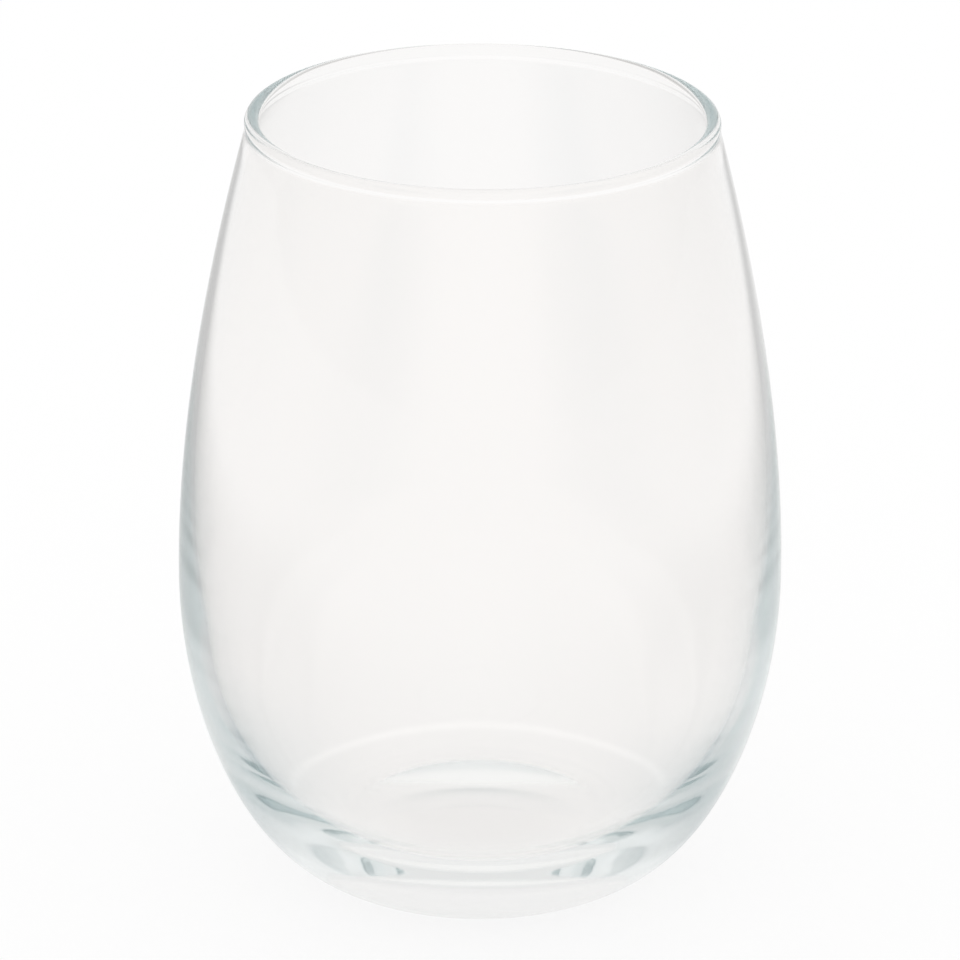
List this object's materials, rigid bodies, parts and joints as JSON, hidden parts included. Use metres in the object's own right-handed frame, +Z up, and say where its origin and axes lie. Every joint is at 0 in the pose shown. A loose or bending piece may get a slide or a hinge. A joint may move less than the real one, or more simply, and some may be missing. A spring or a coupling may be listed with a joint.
{
  "type": "stemless wine glass",
  "caption": "Clear stemless wine glass with a wide rounded bowl that narrows to a beaded rim, and a thickened base that stands on a narrow ring.",
  "frame": {"origin": "on the table plane, at the middle of the ring that the glass stands on, which is on the axis of revolution", "axes": "+Z points up along the axis of revolution, towards the rim; X and Y are alike, and the picture looks along +Y with +X to the right"},
  "size_m": [0.09, 0.09, 0.118],
  "materials": {
    "clear_glass": "clear soda-lime glass, fire-polished, with a faint green-blue tint where it is thick"
  },
  "bodies": {
    "root": {"glass": "clear_glass"}
  },
  "joints": []
}
